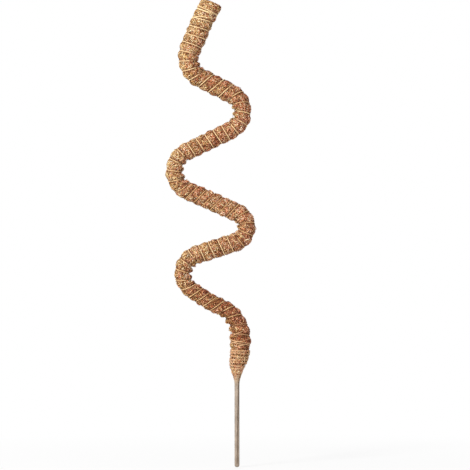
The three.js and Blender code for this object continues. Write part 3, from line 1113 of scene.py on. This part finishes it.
sleeveSizes = {  # millimetres
    "radius": 3.1,
    "tipRound": 2.4,
    "tipFlat": 0.9,
    "tipRings": 9,
    "tipClosing": (0.03, 0.5),  # shares of the flat's radius
    "flareRadius": 6.9,
    "flareLength": 17,
    "flareCurve": 2.1,
    "tuck": 2,
    "step": 0.3,
    "sides": 56,
    "yarnPitch": 1.35,
    "yarnRelief": 0.1,
    "yarnStart": (2, 5),
    "seamLow": 1.38,  # radians from +X to the front, where the lengthwise groove starts
    "seamHigh": 0.7,  # where it ends, under the flare
    "seamTurn": (20, coirStart - 15),  # between these stations it goes around
    "seamWavers": ((0.06, 0.21), (0.05, 0.53)),  # radians, and how often
    "seamStart": (2, 7),
    "seamEnd": (coirStart - 10, coirStart),
    "seamDepth": 0.6,
    "seamWidth": 0.24,
}
sleeveLook = {
    "roughness": 0.72,
    "gloss": 0.3,
    "low": (0.25, 0.19, 0.14),
    "high": (0.435, 0.355, 0.285),
    "flareLow": (0.46, 0.285, 0.155),
    "flareHigh": (0.66, 0.47, 0.28),
    # painted shade: the colour that the lengthwise groove darkens towards
    "seamShade": (0.4, 0.33, 0.28),
    "lowAt": 0.35,
    "highAt": 0.75,
    "stretch": (1, 1, 0.35),  # grain drawn out along the stake
    "grain": (900.0, 4.0, 0.8),  # scale, detail and twist
    "wide": (70.0, 2.0),
    "grainShare": 0.5,
    "wideShare": 0.6,
    "flareFrom": 0.006,  # metres above the soil
    "flareTo": 0.022,
    "flareRagged": 0.4,
    "bump": 0.35,
    "bumpDepth": 0.0003,
}
flareSizes = {"from": 106.0, "to": 123.0, "step": 1.0, "sides": 40}  # millimetres
flareFibre = {
    "Density": 420000.0,
    "Length": 0.009,
    "Radius": 0.00024,
    "Curl": 0.002,
    "Curl Scale": 200.0,
    "Layer": 0.0003,
    "Stray": 0.0004,
    "Patch Scale": 110.0,
    "Tone Shift": 0.15,
    "Mottle": 0.9,
    "Points": 7,
    "Seed": 9,
    "Material": fibreMaterial,
}


def sleeveMaterial(look):
    material, tree, shader = newMaterial("stakeSleeve", look["roughness"], look["gloss"])
    place = addNode(tree, "ShaderNodeTexCoord").outputs["Object"]
    stretch = addNode(tree, "ShaderNodeMapping", {0: place, 3: look["stretch"]}).outputs[0]
    grain = grainNoise(tree, stretch, *look["grain"])
    wide = grainNoise(tree, place, *look["wide"])
    mixed = timesPlus(tree, wide, look["wideShare"], times(tree, grain, look["grainShare"]))
    low, high = look["lowAt"], look["highAt"]
    body = ramp(tree, mixed, [(low, look["low"]), (high, look["high"])])
    flare = ramp(tree, mixed, [(low, look["flareLow"]), (high, look["flareHigh"])])
    height = addNode(tree, "ShaderNodeSeparateXYZ", {0: place}).outputs[2]
    inputs = {0: height, 1: look["flareFrom"], 2: look["flareTo"]}
    rising = addNode(tree, "ShaderNodeMapRange", inputs).outputs[0]
    ragged = timesPlus(tree, wide, look["flareRagged"], -look["flareRagged"] / 2)
    colour = blendColours(tree, "MIX", limited(tree, rising, ragged), body, flare)
    # painted shade: darker along the lengthwise groove
    colour = blendColours(tree, "MULTIPLY", attribute(tree, "seamShade"), colour, (*look["seamShade"], 1))
    tree.links.new(colour, shader.inputs["Base Color"])
    addBump(tree, shader, grain, look["bump"], look["bumpDepth"])
    return material


def sleeveRadius(station, sizes):
    flareStart = coirStart - sizes["flareLength"]
    rise = np.clip((station - flareStart) / sizes["flareLength"], 0, 1) ** sizes["flareCurve"]
    radius = sizes["radius"] + (sizes["flareRadius"] - sizes["radius"]) * rise
    tip = np.clip(1 - station / sizes["tipRound"], 0, 1)
    edge = sizes["tipFlat"] + (sizes["radius"] - sizes["tipFlat"]) * np.sqrt(1 - tip * tip)
    return np.where(station < sizes["tipRound"], edge, radius)


def sleeveSeam(station, angle, sizes):  # 1 in the lengthwise groove, 0 beside it; the same mask paints shade into the groove
    middle = sizes["seamHigh"] - sizes["seamLow"]
    middle = sizes["seamLow"] + middle * smooth(station, *sizes["seamTurn"])
    for swing, rate in sizes["seamWavers"]:
        middle = middle + swing * np.sin(station * rate)
    seamShade = np.exp(-(np.sin(angle - middle) / sizes["seamWidth"]) ** 2)
    return seamShade * smooth(station, *sizes["seamStart"]) * (1 - smooth(station, *sizes["seamEnd"]))


def makeSleeve(sizes):
    high = coirStart + sizes["tuck"]
    tip = np.linspace(0, 1, sizes["tipRings"]) ** 2 * sizes["tipRound"]
    rows = np.concatenate([tip, np.arange(sizes["tipRound"] + sizes["step"], high, sizes["step"])])
    station, angle = ringGrid(rows, sizes["sides"])
    turn = station / sizes["yarnPitch"] - angle / (2 * np.pi)
    relief = np.abs(np.sin(np.pi * turn)) * smooth(station, *sizes["yarnStart"])
    relief = sizes["yarnRelief"] * (relief - 1)
    seamShade = sleeveSeam(station, angle, sizes)
    radius = sleeveRadius(station, sizes) + relief - sizes["seamDepth"] * seamShade
    closing = np.array(sizes["tipClosing"])[:, None] * radius[0]
    station = np.concatenate([0 * closing, station])
    angle = np.concatenate([angle[:len(closing)], angle])
    points = onPole(station, angle, np.concatenate([closing, radius]))
    sleeve = tubePiece("stakeSleeve", points * millimetre, sleeveMaterial(sleeveLook))
    # the groove's mask, kept for the painted shade in the sleeve's material
    seamShade = np.concatenate([np.zeros(closing.size), seamShade.ravel()])
    seamShade = np.append(seamShade, np.zeros(len(sleeve.data.vertices) - len(seamShade)))
    addValues(sleeve.data, "seamShade", seamShade)
    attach(sleeve, "stake")
    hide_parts("stake_wrap")


def feltFlare(sizes):  # short fibres that thin out down the flare
    rows = np.arange(sizes["from"], sizes["to"], sizes["step"])
    station, angle = ringGrid(rows, sizes["sides"])
    points = onPole(station, angle, sleeveRadius(station, sleeveSizes))
    mesh = wallMesh("flareGuide", points * millimetre)
    addValues(mesh, "reach", smooth(station, sizes["from"], sizes["to"]))
    guide = placeObject("flareGuide", mesh)
    felt = takeWhole("flareFibre", runTree(guide, fibreTree, flareFibre), fibreMaterial)
    dropObject(guide)
    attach(felt, "stake")


makeSleeve(sleeveSizes)
feltFlare(flareSizes)
print("stake sleeve and the fibres on its flare")

wireLook = {
    "roughness": 0.38,
    "gloss": 0.5,
    "low": (0.42, 0.42, 0.43),
    "high": (0.62, 0.62, 0.63),
    "lowAt": 0.3,
    "highAt": 0.7,
    "grain": (400.0, 3.0),  # scale and detail
}


def wireMaterial(look):
    material, tree, shader = newMaterial("softWire", look["roughness"], look["gloss"])
    shader.inputs["Metallic"].default_value = 1.0
    place = addNode(tree, "ShaderNodeTexCoord").outputs["Object"]
    grain = grainNoise(tree, place, *look["grain"])
    colour = ramp(tree, grain, [(look["lowAt"], look["low"]), (look["highAt"], look["high"])])
    tree.links.new(colour, shader.inputs["Base Color"])
    return material


def dressWires():
    material = wireMaterial(wireLook)
    for name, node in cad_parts.items():
        if "wire" in name:
            node.data.materials.clear()
            node.data.materials.append(material)


dressWires()
print("wires dressed")

stageLook = {
    "floor": (0.93, 0.93, 0.93),
    "floorSize": 30.0,  # metres from the middle to an edge
    "floorGap": 0.0004,
    "glow": 0.8,  # share of plain white that the camera sees on the floor
    "glowNear": 0.15,
    "glowFar": 0.7,  # past this distance the floor is white
    "sky": 0.2,  # light from all around
    "aim": (-0.03, 0, 0.18),
}
lamps = {  # place, size and power
    "keyLamp": ((-1.7, -2.45, 1.8), 0.8, 123.0),
    "fillLamp": ((2.0, -1.6, 0.6), 1.6, 7.0),
    "backLamp": ((0.9, 2.9, 1.3), 1.8, 56.0),  # reaches the side turned away from the camera
}
cameraView = {  # metres
    "distance": 4.0,
    "frame": 0.5875,  # 470 pixels of 1.25 mm
    "across": -0.0025,
    "height": 0.195,
    "sensor": 36,  # millimetres
    "farthest": 200,
}


def seenRays(tree):  # 1 for what the camera sees, also in or through other things
    rays = addNode(tree, "ShaderNodeLightPath").outputs
    seen = calc(tree, "MAXIMUM", rays["Is Camera Ray"], rays["Is Glossy Ray"])
    return calc(tree, "MAXIMUM", seen, rays["Is Transmission Ray"])


def floorMaterial(look):
    material = bpy.data.materials.new("floorPaper")
    material.use_nodes = True
    tree = material.node_tree
    tree.nodes.clear()
    paper = addNode(tree, "ShaderNodeBsdfDiffuse", {0: (*look["floor"], 1)}).outputs[0]
    white = addNode(tree, "ShaderNodeEmission", {0: (1, 1, 1, 1), 1: 1.0}).outputs[0]
    place = addNode(tree, "ShaderNodeTexCoord").outputs["Object"]
    away = addNode(tree, "ShaderNodeVectorMath", {0: place}, operation="LENGTH").outputs["Value"]
    inputs = {0: away, 1: look["glowNear"], 2: look["glowFar"], 3: look["glow"], 4: 1.0}
    fade = addNode(tree, "ShaderNodeMapRange", inputs).outputs[0]
    inputs = {0: times(tree, seenRays(tree), fade), 1: paper, 2: white}
    mixed = addNode(tree, "ShaderNodeMixShader", inputs).outputs[0]
    addNode(tree, "ShaderNodeOutputMaterial", {0: mixed})
    return material


def makeFloor(look):
    size = look["floorSize"]
    level = -poleShape["stakeDepth"] * millimetre - look["floorGap"]
    corners = [(-size, -size, level), (size, -size, level), (size, size, level), (-size, size, level)]
    mesh = bpy.data.meshes.new("floor")
    mesh.from_pydata(corners, [], [(0, 1, 2, 3)])
    placeObject("floor", mesh, floorMaterial(look))


def makeWorld(look):
    world = bpy.data.worlds.new("studio")
    world.use_nodes = True
    tree = world.node_tree
    tree.nodes.clear()
    inputs = {0: seenRays(tree), 3: look["sky"], 4: 1.0}
    strength = addNode(tree, "ShaderNodeMapRange", inputs).outputs[0]
    sky = addNode(tree, "ShaderNodeBackground", {0: (1, 1, 1, 1), 1: strength}).outputs[0]
    addNode(tree, "ShaderNodeOutputWorld", {0: sky})
    bpy.context.scene.world = world


def makeLamp(name, place, size, power):
    lamp = bpy.data.lights.new(name, "AREA")
    lamp.size = size
    lamp.energy = power
    holder = bpy.data.objects.new(name, lamp)
    holder.location = place
    toward = Vector(stageLook["aim"]) - Vector(place)
    holder.rotation_euler = toward.to_track_quat("-Z", "Y").to_euler()
    bpy.context.scene.collection.objects.link(holder)


def makeCamera(view):
    camera = bpy.data.cameras.new("camera")
    camera.sensor_width = view["sensor"]
    camera.lens = view["sensor"] * view["distance"] / view["frame"]
    camera.clip_end = view["farthest"]
    holder = bpy.data.objects.new("camera", camera)
    holder.location = (view["across"], -view["distance"], view["height"])
    holder.rotation_euler = (math.pi / 2, 0, 0)
    bpy.context.scene.collection.objects.link(holder)
    bpy.context.scene.camera = holder


makeFloor(stageLook)
makeWorld(stageLook)
for name, (place, size, power) in lamps.items():
    makeLamp(name, place, size, power)
makeCamera(cameraView)
bpy.context.scene.view_settings.view_transform = "Standard"
print("stage, lamps and camera")
